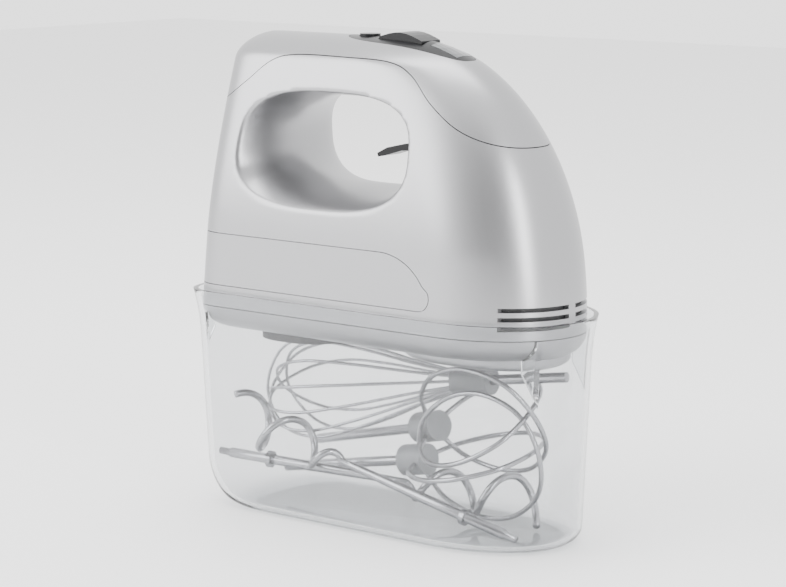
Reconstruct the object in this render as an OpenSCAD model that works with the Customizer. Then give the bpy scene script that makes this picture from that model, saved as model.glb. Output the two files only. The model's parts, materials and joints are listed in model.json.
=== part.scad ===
// Hand mixer on its clear storage case, with a balloon whisk, two beaters and two dough
// hooks lying in the case.
// Frame: origin at the bottom centre of the case, +X to the mixer's nose, +Z up, millimetres.

/* [Storage case] */
// Height of the case from the table to its rim
case_h = 107; // [100:1:125]
// Rear end of the case at the rim, measured back from the origin
case_rear = 106; // [104:1:120]
// Front end of the case at the rim, measured forward from the origin
case_front = 106; // [103:1:118]
// Half of the case's width at the rim
case_half_w = 44; // [43:0.5:52]
// Thickness of the case wall
case_wall = 2.2; // [1.6:0.1:3]
// Thickness of the case floor
case_floor = 2.5; // [2:0.1:4]
// How far the case walls lean in from rim to floor
case_draft = 4; // [2:0.5:6]
// Radius of the case's lower rear edge
case_rear_round = 24; // [12:1:30]
// Radius of the case's other lower edges
case_edge_round = 7; // [4:0.5:10]

/* [Mixer body] */
// Rear end of the body at its lower seam, measured back from the origin
body_rear = 102; // [99:0.5:112]
// Nose of the body at its lower seam, measured forward from the origin
body_front = 100.5; // [97:0.5:110]
// Half of the body's width
body_half_w = 40.6; // [38:0.2:48]
// Height of the body from its lower seam to its crown
body_h = 131.5; // [122:0.5:150]
// Depth of the rounded underside below the lower seam
under_h = 11.5; // [9:0.5:14]
// Half of the handle's width just under its crown
handle_half_w = 26; // [22:0.5:30]
// Wall thickness of the housings
wall = 2.4; // [1.8:0.1:3]
// Gap between parts that meet at a seam
seam_gap = 0.3; // [0.2:0.05:0.5]
// Height of the side band
band_h = 25; // [18:1:30]
// Thickness of the side band's skin
band_t = 1.2; // [0.8:0.1:1.6]

/* [Handle opening] */
// Rear end of the opening at its throat
grip_rear = -62; // [-68:1:-50]
// Front end of the opening at its throat
grip_front = 27; // [20:1:34]
// Height of the opening's floor above the lower seam
grip_floor = 61; // [56:1:68]
// Height of the opening's ceiling above the lower seam
grip_ceiling = 103; // [96:1:108]
// How far the opening flares to the rear
flare_rear = 17; // [8:1:20]
// How far the opening flares at its front
flare_front = 10; // [4:1:12]
// How far the opening flares downwards
flare_floor = 13; // [6:1:14]
// How far the opening flares upwards
flare_ceiling = 9; // [4:1:10]

/* [Air vents] */
// Number of vent rows round the nose
vent_rows = 3; // [2:1:3]
// Height of one vent slot
vent_slot = 2; // [1.4:0.1:2.4]
// Distance from one vent row to the next
vent_pitch = 4.2; // [3.6:0.1:4.6]
// Where the vent slots start along the side
vent_start = 82; // [74:1:88]
// Width of the post that splits the slots at the nose
vent_post = 5; // [3:0.5:8]

/* [Beater drive] */
// Distance between the two beater spindles
spindle_gap = 40; // [36:1:44]
// Where the spindles stand along the body
spindle_x = 52; // [46:1:56]
// Bore of a spindle, for a beater's shank
shank_bore_d = 5.3; // [5:0.1:6]
// Diameter of a beater's shank
shank_d = 5; // [4.4:0.1:5.2]
// Outer diameter of a spindle
spindle_d = 10; // [9:0.2:11]
// Teeth on each worm wheel
wheel_teeth = 30; // [28:1:32]
// Face width of a worm wheel
wheel_face = 8; // [6:0.5:10]
// Starts on the worm
worm_starts = 2; // [2:1:2]
// Height of the motor's axis above the lower seam
motor_rise = 18; // [16:0.5:20]
// Running clearance on radius of a shaft in its bearing
run_gap = 0.05; // [0.02:0.01:0.09]

/* [Motor] */
// Length of the stator's stack of laminations
stator_l = 30; // [24:1:36]
// Width of the stator
stator_w = 56; // [50:1:60]
// Height of the stator
stator_h = 46; // [42:1:48]
// Radius of the rotor
rotor_r = 15; // [13:0.5:16]
// Diameter of the motor's shaft
motor_shaft_d = 6; // [5:0.5:7]
// Middle of the stator along the body
motor_x = -20; // [-26:1:-14]

/* [Accessories] */
// Diameter of the whisk's wires
whisk_wire_d = 1.5; // [1.2:0.1:1.8]
// Number of wire loops on the whisk
whisk_loops = 6; // [4:1:7]
// Length of the whisk's balloon
whisk_l = 126; // [110:1:130]
// Greatest radius of the whisk's balloon
whisk_r = 25; // [20:1:27]
// Diameter of the beaters' wires
beater_wire_d = 2.4; // [1.8:0.1:2.6]
// Length of a beater's cage
beater_l = 76; // [66:1:80]
// Greatest radius of a beater's cage
beater_r = 31; // [26:1:33]
// Diameter of the dough hooks' rods
hook_rod_d = 3.6; // [3:0.1:4.2]
// Length of a dough hook's straight shank
hook_shank_l = 100; // [90:1:104]
// Length of a dough hook's spiral
hook_spiral_l = 70; // [60:1:74]
// Greatest radius of a dough hook's spiral
hook_spiral_r = 12; // [9:0.5:13]

/* [Hidden] */
$fn = 48;

// Gap between a part that rests and what carries it
seat_gap = 0.3;
// Facets of the smooth forms: steps round the nose, round the rear and up the sides
nose_steps = 20;
rear_steps = 16;
side_levels = 12;
edge_levels = 5;

// Heights in the shared frame
seam_z = case_h - 7;
under_z = seam_z - under_h;
top_z = seam_z + body_h;
crown_h = 12;
board_t = 1.6;
crown_z = top_z - crown_h;
motor_z = seam_z + motor_rise;

// Body outline
nose_power = 2.1;
rear_power = 3.4;
nose_run = 50;
rear_run = 26;
under_run = 12;
rear_lean = 0.1;
profile_x = -10;
profile_h = body_h + 1.5;
profile_power = 2.3;
crown_rear_round = 11;
waist_z = seam_z + 35;

silver = [0.78, 0.78, 0.79];
steel = [0.72, 0.73, 0.75];
black = [0.07, 0.07, 0.08];
clear = [0.86, 0.89, 0.9, 0.35];

// ---- shared functions -------------------------------------------------------------

function signed_pow(v, e) = sign(v) * pow(abs(v), e);

// A point of a superellipse with semi-axes a and b
function super_point(angle, a, b, power) =
    [a * signed_pow(cos(angle), 2 / power), b * signed_pow(sin(angle), 2 / power)];

// A closed outline in plan: a rounded nose at +X and a squarer rear
function plan_ring(rear, nose, half_w, nose_l, rear_l, z) = concat(
    [for (i = [0:nose_steps])
        let (p = super_point(-90 + 180 * i / nose_steps, nose_l, half_w, nose_power))
        [nose - nose_l + p[0], p[1], z]],
    [for (i = [0:rear_steps])
        let (p = super_point(90 + 180 * i / rear_steps, rear_l, half_w, rear_power))
        [rear + rear_l + p[0], p[1], z]]
);

// A closed solid through a list of rings with equal point counts
module skin(rings) {
    n = len(rings[0]);
    m = len(rings);
    side_faces = [for (j = [0:m - 2]) for (i = [0:n - 1])
        let (k = (i + 1) % n)
        each [[j * n + i, (j + 1) * n + i, j * n + k],
              [j * n + k, (j + 1) * n + i, (j + 1) * n + k]]];
    first_cap = [for (i = [0:n - 1]) i];
    last_cap = [for (i = [n - 1:-1:0]) (m - 1) * n + i];
    polyhedron([for (r = rings) each r], concat([first_cap], side_faces, [last_cap]));
}

function unit(v) = v / norm(v);

// Direction of a path at point i
function heading(path, i) =
    unit(path[min(i + 1, len(path) - 1)] - path[max(i - 1, 0)]);

// Side vectors carried along a path without twisting
function carried(path, side, i = 0) =
    let (t = heading(path, i), s = unit(side - (side * t) * t))
    i == len(path) - 1 ? [s] : concat([s], carried(path, s, i + 1));

// A solid round bar along a path, with the given radius at each point
function bar_rings(path, radii, side, sides) =
    let (ways = carried(path, side))
    [for (i = [0:len(path) - 1])
        let (t = heading(path, i), s = ways[i], u = cross(t, s))
        [for (k = [0:sides - 1])
            let (a = 360 * k / sides)
            path[i] + radii[i] * (s * cos(a) + u * sin(a))]];

module bar(path, radii, side, sides = 8) {
    skin(bar_rings(path, radii, side, sides));
}

// A smooth curve through the points of a list, with steps pieces between two points
function spline_point(a, b, c, d, t) =
    0.5 * (2 * b + t * (c - a) + t * t * (2 * a - 5 * b + 4 * c - d)
        + t * t * t * (3 * b - a - 3 * c + d));

function spline(pts, steps) = concat(
    [for (i = [0:len(pts) - 2]) for (k = [0:steps - 1])
        spline_point(pts[max(i - 1, 0)], pts[i], pts[i + 1],
            pts[min(i + 2, len(pts) - 1)], k / steps)],
    [pts[len(pts) - 1]]
);

// ---- mixer form -------------------------------------------------------------------

// Nose of the body at height z, along an arched profile
function body_nose(z) =
    profile_x + (body_front - profile_x)
        * pow(max(0, 1 - pow(max(0, z - seam_z) / profile_h, profile_power)), 1 / profile_power);

// Half width at height z: straight low down, narrowing to the handle
function body_side(z) =
    body_half_w - (body_half_w - handle_half_w)
        * pow(max(0, z - waist_z) / (crown_z - waist_z), 1.6);

// One ring of the body, drawn in by w on every side and by pull at the edges
function body_ring(z, w, pull, squeeze, rear_pull) =
    let (rise = max(0, z - seam_z) / body_h,
         nose = body_nose(z + w * rise * rise) - w - pull,
         rear = -body_rear + rear_lean * (z - seam_z) + w + pull + rear_pull,
         half_w = max(1.5, (body_side(z) - w) * squeeze - pull),
         room = nose - rear)
    plan_ring(rear, nose, half_w, min(nose_run, room * 0.55) - w * 0.6,
        min(rear_run, room * 0.3) - w * 0.6, z);

function body_rings(w) = concat(
    [for (i = [0:edge_levels - 1])
        let (a = 90 - 90 * i / edge_levels)
        body_ring(seam_z - (under_h - w) * sin(a), w, under_run * (1 - cos(a)), 1, 0)],
    [for (i = [0:side_levels])
        body_ring(seam_z + (crown_z - seam_z) * i / side_levels, w, 0, 1, 0)],
    [for (i = [1:edge_levels + 1])
        let (a = 84 * i / (edge_levels + 1))
        body_ring(crown_z + (crown_h - w) * sin(a), w, 0, cos(a),
            crown_rear_round * (1 - cos(a)))]
);

module body_form(w) {
    skin(body_rings(w));
}

// One ring of the handle opening at distance y from the middle plane
flare_y = body_half_w + 1.5;
flare_power = 1.7;

function grip_ring(y, grow) =
    let (u = min(1, abs(y) / flare_y), s = 1 - pow(1 - pow(u, flare_power), 1 / flare_power),
         x0 = grip_rear - flare_rear * s - grow, x1 = grip_front + flare_front * s + grow,
         z0 = seam_z + grip_floor - flare_floor * s - grow,
         z1 = seam_z + grip_ceiling + flare_ceiling * s + grow)
    [for (i = [0:23])
        let (p = super_point(-i * 15, (x1 - x0) / 2, (z1 - z0) / 2, 2.8))
        [(x0 + x1) / 2 + p[0], y, (z0 + z1) / 2 + p[1]]];

module grip_form(grow) {
    reach = body_half_w + 20;
    turns = [for (a = [-90:15:90]) flare_y * sin(a)];
    skin([for (y = concat([-reach], turns, [reach])) grip_ring(y, grow)]);
}

// The wall of the body, with the tunnel through the handle
module mixer_walls() {
    difference() {
        body_form(0);
        grip_form(0);
        difference() {
            body_form(wall);
            grip_form(wall);
        }
    }
}

// An outline in the XZ plane, carried right across the body
module across(pts) {
    translate([0, body_half_w + 30, 0])
        rotate([90, 0, 0])
            linear_extrude(2 * body_half_w + 60)
                polygon(pts);
}

// Seam of the top cover, from the rear to the nose
top_seam = spline([
    [-130, seam_z + 98], [-96, seam_z + 98.5], [-84, seam_z + 101], [-72, seam_z + 108.5],
    [-58, seam_z + 119], [-44, seam_z + 122.5], [-14, seam_z + 122.6],
    [12, seam_z + 121.5], [26, seam_z + 116], [40, seam_z + 103.5], [56, seam_z + 92.5],
    [74, seam_z + 86], [92, seam_z + 84.5], [130, seam_z + 84.5]
], 5);

module above_top_seam(gap) {
    across(concat([for (p = top_seam) p + [0, gap]],
        [[130, top_z + 30], [-130, top_z + 30]]));
}

// The band's outline: straight edges and a swept front end
band_z0 = seam_z + 10.6;
band_z1 = band_z0 + band_h;

function band_outline(grow) = concat(
    [[-140, band_z0 - grow], [42, band_z0 - grow]],
    [for (a = [-75:15:30]) [43, band_z0 + 6] + (6 + grow) * [cos(a), sin(a)]],
    [for (a = [30:10:90])
        [20, band_z1 - 27] + [(29 + grow) * cos(a), (27 + grow) * sin(a)]],
    [[-140, band_z1 + grow]]
);

// ---- case -------------------------------------------------------------------------

// How far a rounded lower edge of radius r draws in at height h
function edge_in(h, r) = r - sqrt(r * r - pow(r - min(r, max(0, h)), 2));

function case_ring(z, w) =
    let (low = 1 - z / case_h,
         flare = 1.8 * pow(max(0, z / case_h - 0.78) / 0.22, 2) - 1.8,
         side = edge_in(z - (w > 0 ? case_floor : 0), case_edge_round - w),
         back = edge_in(z - (w > 0 ? case_floor : 0), case_rear_round - w),
         half_w = case_half_w - w + flare - case_draft * 0.5 * low - side)
    plan_ring(-case_rear + w - flare + (case_draft + 2) * low + back,
        case_front - w + flare - (case_draft + 1) * low - side,
        half_w, 52 - w, 28 - w, z);

case_heights = concat(
    [for (a = [0:15:90]) case_edge_round * (1 - cos(a))],
    [for (i = [1:4]) case_edge_round + (case_rear_round - case_edge_round) * i / 4],
    [for (k = [0.4, 0.6, 0.78, 0.85, 0.92, 1]) case_h * k]
);

boss_z = under_z - 4.5;

// Ribs inside the case, cut to the mixer's underside, that carry it
side_rib_x = -88;
side_rib_reach = 34.5;
nose_rib_y = 20;
nose_rib_x = 87;
rib_t = 2;

module case_ribs() {
    for (side = [0, 1]) mirror([0, side, 0])
        translate([side_rib_x - rib_t / 2, 0, 0]) rotate([90, 0, 90]) linear_extrude(rib_t)
            polygon([[side_rib_reach, seam_z], [side_rib_reach, seam_z - 11],
                [case_half_w, seam_z - 26], [case_half_w, seam_z]]);
    for (y = [-nose_rib_y, nose_rib_y])
        translate([0, y + rib_t / 2, 0]) rotate([90, 0, 0]) linear_extrude(rib_t)
            polygon([[nose_rib_x, seam_z], [nose_rib_x, seam_z - 16],
                [case_front - 8, seam_z - 34], [case_front, seam_z - 34], [case_front, seam_z]]);
}

module storage_case() {
    color(clear) resize([0, 0, 0]) union() {
        difference() {
            skin([for (z = case_heights) case_ring(z, 0)]);
            skin(concat(
                [for (z = case_heights) if (z < case_h)
                    case_ring(case_floor + z * (case_h - case_floor) / case_h, case_wall)],
                [case_ring(case_h + 0.01, case_wall)]));
        }
        difference() {
            intersection() {
                case_ribs();
                skin([for (z = case_heights) case_ring(z, case_wall / 2)]);
            }
            body_form(-seat_gap);
        }
    }
}

// ---- housings ---------------------------------------------------------------------

// A level slab under height z, wider than the body
module below(z) {
    translate([-150, -100, z - 200]) cube([300, 200, 200]);
}

// Air slots round the nose, split by a post at the middle plane
vent_top_z = seam_z + 13.8;

module vent_slots() {
    for (i = [0:vent_rows - 1])
        for (side = [-1, 1])
            translate([vent_start, side > 0 ? vent_post / 2 : -60 - vent_post / 2,
                    vent_top_z - i * vent_pitch - vent_slot / 2])
                cube([40, 60, vent_slot]);
}

// Screws that hold the bottom cover to the main housing
screw_places = [[-78, 27], [-78, -27], [12, 32.5], [12, -32.5]];
screw_r = 1.5;
screw_head_r = 3.2;
boss_r = 4;
post_top_z = seam_z - seam_gap;
screw_seat_z = post_top_z - 3;

// Rear cord gland
gland_z = seam_z + 50;
gland_r = 6;
gland_flange_r = 8.5;
cord_r = 3.1;
gland_wall_x = -body_rear + rear_lean * (gland_z - seam_z);
shelf_z = seam_z + 41;

// Eject lever and its pivot in two cheeks behind the front wall of the opening
pivot = [46, 0, seam_z + 78];
lever_w = 12;
lever_slack = 0.4;
pivot_r = 2;
cheek_t = 3;
cheek_y = lever_w / 2 + 1.2;
board_z = seam_z + 31;

module housing_fittings() {
    intersection() {
        body_form(wall / 2);
        union() {
            for (p = screw_places) {
                translate([p[0], p[1], seam_z + seam_gap]) cylinder(r = boss_r, h = 20, $fn = 24);
                translate([p[0] - 1.5, p[1] > 0 ? p[1] : p[1] - 20, seam_z + 3]) cube([3, 20, 15]);
            }
            // Shelf under the cord clamp
            translate([-90, -60, shelf_z]) cube([12, 120, 3]);
            // Ledges under the power board
            for (side = [-1, 1])
                translate([-92, side > 0 ? 25 : -65, board_z - 3]) cube([30, 40, 3]);
            // Cheeks of the lever's pivot
            for (side = [-1, 1])
                translate([grip_front + 1, side * (cheek_y + cheek_t / 2) - cheek_t / 2,
                        pivot[2] - 7])
                    cube([pivot[0] + 5 - grip_front, cheek_t, 14]);
        }
    }
}

module main_housing() {
    color(silver) difference() {
        resize([0, 0, 0]) difference() {
            union() {
                difference() {
                    mixer_walls();
                    vent_slots();
                }
                housing_fittings();
            }
            below(seam_z);
            above_top_seam(-seam_gap);
            difference() {
                across(band_outline(seam_gap));
                body_form(band_t + seam_gap);
            }
            translate([grip_front - 12, -lever_w / 2 - lever_slack, pivot[2] - 5])
                cube([24, lever_w + 2 * lever_slack, 17]);
        }
        for (p = screw_places)
            translate([p[0], p[1], seam_z - 1]) cylinder(r = screw_r + 0.02, h = 18);
        translate([gland_wall_x - 12, 0, gland_z]) rotate([0, 90, 0])
            cylinder(r = gland_r + run_gap, h = 24);
        translate([pivot[0], cheek_y + cheek_t + 1, pivot[2]]) rotate([90, 0, 0])
            cylinder(r = pivot_r + 0.02, h = 2 * (cheek_y + cheek_t + 1));
    }
}

// Control panel outline, as an upright prism grown on every side
panel_x = 7;
panel_half_l = 35;
panel_half_w = 12.5;
panel_t = 1.6;

module panel_prism(grow) {
    translate([panel_x, 0, top_z - 30])
        linear_extrude(40)
            polygon([for (i = [0:31])
                super_point(i * 11.25, panel_half_l + grow, panel_half_w + grow, 2.6)]);
}

control_board_z = crown_z - 2;
board_top_z = control_board_z + seam_gap + board_t;

module top_cover() {
    color(silver) resize([0, 0, 0]) difference() {
        union() {
            mixer_walls();
            // Rails under the control board
            intersection() {
                body_form(wall / 2);
                for (x = [-26, 16]) translate([x, -40, control_board_z - 3]) cube([6, 80, 3]);
            }
        }
        difference() {
            translate([-150, -100, 0]) cube([300, 200, 400]);
            above_top_seam(0);
        }
        panel_prism(-2.2);
        difference() {
            panel_prism(seam_gap);
            body_form(panel_t + seam_gap);
        }
    }
}

// Pad under the nose that carries the spindle mouths
boss_x = spindle_x;
boss_half_w = spindle_gap / 2 + 9;

function pad_ring(z, pull) =
    [for (i = [0:31])
        let (p = super_point(i * 11.25, 41 - pull, boss_half_w - pull, 2.4)) [boss_x + p[0], p[1], z]];

module pad_form(w) {
    skin(concat(
        [for (a = [90:-22.5:22.5]) pad_ring(boss_z + 4 - (4 - w) * sin(a), w + 5 * (1 - cos(a)))],
        [pad_ring(boss_z + 4, w), pad_ring(under_z + wall + (w > 0 ? 1 : -0.5), w)]));
}

spindle_places = [[spindle_x, spindle_gap / 2], [spindle_x, -spindle_gap / 2]];

module bottom_cover() {
    color(silver) difference() {
        resize([0, 0, 0]) difference() {
            union() {
                intersection() {
                    mixer_walls();
                    below(seam_z - seam_gap);
                }
                pad_form(0);
                for (p = screw_places) translate([p[0], p[1], under_z + 1])
                    cylinder(r = boss_r + 0.8, h = post_top_z - under_z - 1, $fn = 24);
            }
            pad_form(wall);
        }
        for (p = screw_places) {
            translate([p[0], p[1], under_z - 5]) cylinder(r = screw_head_r + 0.4,
                h = screw_seat_z - under_z + 5);
            translate([p[0], p[1], under_z]) cylinder(r = screw_r + 0.2, h = 20);
        }
        for (p = spindle_places)
            translate([p[0], p[1], boss_z - 1]) cylinder(r = spindle_d / 2 + 0.6, h = 8);
    }
}

module rear_side_band() {
    color(silver) resize([0, 0, 0]) intersection() {
        across(band_outline(0));
        difference() {
            body_form(0);
            body_form(band_t);
        }
    }
}

module rear_foot() {
    color([0.3, 0.3, 0.31]) translate([-50, 0, boss_z]) difference() {
        linear_extrude(under_z - 0.1 - boss_z)
            polygon([for (i = [0:35]) super_point(i * 10, 24.5, 27, 2.6)]);
        translate([0, 0, -1]) linear_extrude(2.2)
            polygon([for (i = [0:35]) super_point(i * 10, 20, 22, 2.6)]);
    }
}

// Dark grille behind the air slots
module vent_baffle() {
    color(black) resize([0, 0, 0]) intersection() {
        translate([vent_start - 12, -60, seam_z + 2]) cube([60, 120, 15]);
        difference() {
            body_form(wall + seam_gap);
            body_form(wall + seam_gap + 1.2);
        }
    }
}

// ---- controls ---------------------------------------------------------------------

button_x = -18;
button_r = 5;
rocker_x0 = -7;
rocker_x1 = 18.5;
rocker_half_w = 7;
rocker_pivot_z = top_z - 5.5;
window_x0 = 23;
window_x1 = 38;
window_half_w = 5.5;

module control_panel() {
    color(black) difference() {
        resize([0, 0, 0]) difference() {
            intersection() {
                body_form(-0.3);
                panel_prism(0);
            }
            body_form(panel_t);
            translate([rocker_x0 - 1, -rocker_half_w - 0.5, top_z - 20])
                cube([rocker_x1 - rocker_x0 + 2, 2 * rocker_half_w + 1, 40]);
            translate([window_x0 - 0.3, -window_half_w - 0.3, top_z - 20])
                cube([window_x1 - window_x0 + 0.6, 2 * window_half_w + 0.6, 40]);
        }
        translate([button_x, 0, top_z - 20]) cylinder(r = button_r + seam_gap, h = 40);
    }
}

button_travel = 1.5;
button_z = board_top_z + button_travel + 0.2;

module power_button() {
    color(black) translate([button_x, 0, button_z]) {
        cylinder(r = button_r, h = top_z + 0.8 - button_z);
        cylinder(r = button_r + 1.4, h = 1.6);
    }
}

module speed_rocker() {
    color(black) translate([0, rocker_half_w, 0]) rotate([90, 0, 0]) difference() {
        linear_extrude(2 * rocker_half_w)
            polygon(concat(
                [[rocker_x1 - 2, top_z - 7], [rocker_x1, top_z - 2.5]],
                [for (i = [0:8]) let (t = i / 8)
                    [rocker_x1 + (rocker_x0 - rocker_x1) * t,
                        top_z - 1.2 + 1.2 * t + 3 * sin(180 * t)]],
                [[rocker_x0 + 1, top_z - 7]]));
        translate([rocker_x, rocker_pivot_z, -1])
            cylinder(r = rocker_pin_r + run_gap, h = 2 * rocker_half_w + 2);
    }
}

module display_window() {
    color([0.25, 0.27, 0.28]) resize([0, 0, 0]) intersection() {
        translate([window_x0, -window_half_w, top_z - 20])
            cube([window_x1 - window_x0, 2 * window_half_w, 40]);
        difference() {
            body_form(-0.1);
            body_form(panel_t);
        }
    }
}

// Pivot of the rocker, in two cheeks that stand on the board
rocker_pin_r = 1.15;
rocker_x = (rocker_x0 + rocker_x1) / 2;
rocker_cheek_y = rocker_half_w + 0.9;
rocker_cheek_t = 1.5;

module control_board() {
    color([0.1, 0.35, 0.2]) difference() {
        union() {
            translate([-27, -10, board_top_z - board_t]) cube([50, 20, board_t]);
            for (x = [-11, -1, 9, 16]) translate([x, -3, board_top_z]) cube([4, 6, 1]);
            for (y = [-rocker_cheek_y - rocker_cheek_t, rocker_cheek_y])
                translate([rocker_x - 2.5, y, board_top_z])
                    cube([5, rocker_cheek_t, rocker_pivot_z + 1.6 - board_top_z]);
        }
        translate([rocker_x, 20, rocker_pivot_z]) rotate([90, 0, 0])
            cylinder(r = rocker_pin_r + 0.02, h = 40);
    }
}

module rocker_pin() {
    reach = rocker_cheek_y + rocker_cheek_t;
    color(steel) translate([rocker_x, reach, rocker_pivot_z]) rotate([90, 0, 0])
        cylinder(r = rocker_pin_r, h = 2 * reach);
}

module eject_lever() {
    x = pivot[0];
    z = pivot[2];
    color(black) translate([0, lever_w / 2, 0]) rotate([90, 0, 0]) difference() {
        linear_extrude(lever_w) union() {
            polygon([
                [x, z + 4], [22, z + 5], [8, z + 4], [-3, z + 1.5], [-9, z - 1.5],
                [-8.5, z - 3.2], [-5, z - 2.6], [6, z + 0.6], [22, z + 1.5], [x, z - 4],
                [x + 20, z - 5.5], [x + 20, z - 2.5]
            ]);
            translate([x, z]) circle(r = 4.4);
        }
        translate([x, z, -1]) cylinder(r = pivot_r + run_gap, h = lever_w + 2);
    }
}

module lever_pivot_pin() {
    reach = cheek_y + cheek_t;
    color(steel) translate([pivot[0], reach, pivot[2]]) rotate([90, 0, 0])
        cylinder(r = pivot_r, h = 2 * reach);
}

// ---- beater drive -----------------------------------------------------------------

shaft_r = motor_shaft_d / 2;
wheel_r = wheel_teeth / 2;
worm_r = spindle_gap / 2 - wheel_r;
tooth_h = 0.9;
plate_t = 3;
lower_plate_z = motor_z - 15;
upper_plate_z = motor_z + worm_r + 3;
bush_r = 7;
pillar_r = 3;
frame_x0 = 18;
frame_x1 = 78;
cover_floor_z = under_z + wall;
pad_floor_z = boss_z + wall;
spindle_top_z = upper_plate_z + plate_t + 2.5;
yoke_z = spindle_top_z + 5.5;
eject_pin_r = 2.2;
shoulder_z = spindle_top_z - 5;

// A ring round a vertical axis
module ring(inner, outer, h) {
    difference() {
        cylinder(r = outer, h = h);
        translate([0, 0, -1]) cylinder(r = inner, h = h + 2);
    }
}

module gearbox_frame() {
    pillars = [for (x = [frame_x0 + 8, frame_x1 - 4]) for (y = [-12, 12]) [x, y]];
    color([0.6, 0.61, 0.62]) difference() {
        union() {
            for (z = [lower_plate_z, upper_plate_z])
                translate([frame_x0, 0, z]) linear_extrude(plate_t) polygon([
                    [0, -33], [38, -33], [frame_x1 - frame_x0, -26],
                    [frame_x1 - frame_x0, 26], [38, 33], [0, 33]
                ]);
            for (p = pillars)
                translate([p[0], p[1], pad_floor_z + seat_gap])
                    cylinder(r = pillar_r, h = upper_plate_z - pad_floor_z - seat_gap);
            translate([frame_x0, -30, motor_z - 22]) cube([4, 60, 44]);
            translate([frame_x1 - 5, -8, lower_plate_z + 1])
                cube([4, 16, upper_plate_z - lower_plate_z]);
        }
        for (p = spindle_places)
            translate([p[0], p[1], lower_plate_z - 20]) cylinder(r = bush_r + 0.02, h = 80);
        translate([frame_x0 - 1, 0, motor_z]) rotate([0, 90, 0]) cylinder(r = 8.02, h = 6);
        translate([frame_x1 - 6, 0, motor_z]) rotate([0, 90, 0])
            cylinder(r = shaft_r + run_gap, h = 8);
        for (y = [-24, 24]) for (z = [-18, 18])
            translate([frame_x0 - 1, y, motor_z + z]) rotate([0, 90, 0]) cylinder(r = 1.82, h = 6);
    }
}

// Helical wheel: tapered teeth twisted to suit the worm; a tooth points at the worm's axis
module worm_wheel(p, towards) {
    step = 360 / wheel_teeth;
    twist = wheel_face * worm_starts / (2 * worm_r) / wheel_r * 180 / PI;
    tooth = [[-0.3, -tooth_h], [-0.11, tooth_h], [0.11, tooth_h], [0.3, -tooth_h]];
    color([0.9, 0.88, 0.8]) translate([p[0], p[1], motor_z - wheel_face / 2]) difference() {
        rotate(towards - twist / 2)
            linear_extrude(wheel_face, twist = -twist, slices = 2, segments = 4 * wheel_teeth)
                polygon([for (i = [0:wheel_teeth - 1]) for (c = tooth)
                    (wheel_r + c[1]) * [cos((i + c[0]) * step), sin((i + c[0]) * step)]]);
        translate([0, 0, -1]) cylinder(r = spindle_d / 2 + 0.02, h = wheel_face + 2);
    }
}

module worm_wheel_left() {
    worm_wheel(spindle_places[0], -90);
}

module worm_wheel_right() {
    worm_wheel(spindle_places[1], 90);
}

module spindle(p) {
    low = boss_z + 0.5;
    color(steel) translate([p[0], p[1], 0]) difference() {
        translate([0, 0, low]) cylinder(r = spindle_d / 2, h = spindle_top_z - low);
        translate([0, 0, low - 1]) cylinder(r = shank_bore_d / 2, h = shoulder_z - low + 1);
        translate([0, 0, low]) cylinder(r = eject_pin_r + 0.2, h = 80);
    }
}

module spindle_left() {
    spindle(spindle_places[0]);
}

module spindle_right() {
    spindle(spindle_places[1]);
}

module spindle_bushes() {
    color([0.75, 0.6, 0.35])
        for (p = spindle_places) for (z = [lower_plate_z, upper_plate_z])
            translate([p[0], p[1], z]) ring(spindle_d / 2 + run_gap, bush_r, plate_t);
}

module ejector_yoke() {
    stem_top_z = pivot[2] - 5.5 - seat_gap;
    color(black) union() {
        translate([spindle_x - 5, -spindle_gap / 2 - 4, yoke_z]) cube([10, spindle_gap + 8, 3]);
        for (p = spindle_places) translate([p[0], p[1], shoulder_z + 2])
            cylinder(r = eject_pin_r, h = yoke_z - shoulder_z - 1);
        translate([spindle_x, -4, yoke_z]) cube([pivot[0] + 20 - spindle_x, 8, 3]);
        translate([pivot[0] + 15, -4, yoke_z]) cube([5, 8, stem_top_z - yoke_z]);
    }
}

module ejector_spring() {
    low = upper_plate_z + plate_t + 0.2;
    color(steel) translate([spindle_x, 0, low]) ring(2.6, 4, yoke_z - 0.2 - low);
}

// ---- motor ------------------------------------------------------------------------

// Lays a shape built along +Z along the motor's axis, starting at x
module on_motor(x) {
    translate([x, 0, motor_z]) rotate([0, 90, 0]) children();
}

stator_x0 = motor_x - stator_l / 2;
stator_x1 = motor_x + stator_l / 2;
air_gap = 0.6;
motor_screw_y = 24;
motor_screw_z = 18;
coil_y = 18;
coil_w = 4.5;
coil_h = 22;
rear_frame_x = stator_x0 - 20;

module motor_screw_places() {
    for (y = [-motor_screw_y, motor_screw_y]) for (z = [-motor_screw_z, motor_screw_z])
        translate([0, y, motor_z + z]) rotate([0, 90, 0]) children();
}

module motor_stator() {
    w = stator_w / 2;
    h = stator_h / 2;
    color([0.45, 0.46, 0.48]) difference() {
        translate([stator_x0, 0, motor_z]) rotate([90, 0, 90]) linear_extrude(stator_l)
            polygon([[-w, 6 - h], [6 - w, -h], [w - 6, -h], [w, 6 - h], [w, h - 6], [w - 6, h],
                [6 - w, h], [-w, h - 6]]);
        on_motor(stator_x0 - 1) cylinder(r = rotor_r + air_gap, h = stator_l + 2);
        for (side = [-1, 1])
            translate([stator_x0 - 1, side * (coil_y + coil_w / 2) - coil_w / 2 - 0.3,
                    motor_z - coil_h / 2 - 0.3])
                cube([stator_l + 2, coil_w + 0.6, coil_h + 0.6]);
        translate([stator_x0 - 1, 0, 0]) motor_screw_places() cylinder(r = 2, h = stator_l + 2);
    }
}

module field_coils() {
    color([0.72, 0.4, 0.2])
        for (side = [-1, 1])
            translate([stator_x0 - 5, side * (coil_y + coil_w / 2) - coil_w / 2,
                    motor_z - coil_h / 2])
                cube([stator_l + 10, coil_w, coil_h]);
}

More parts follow.
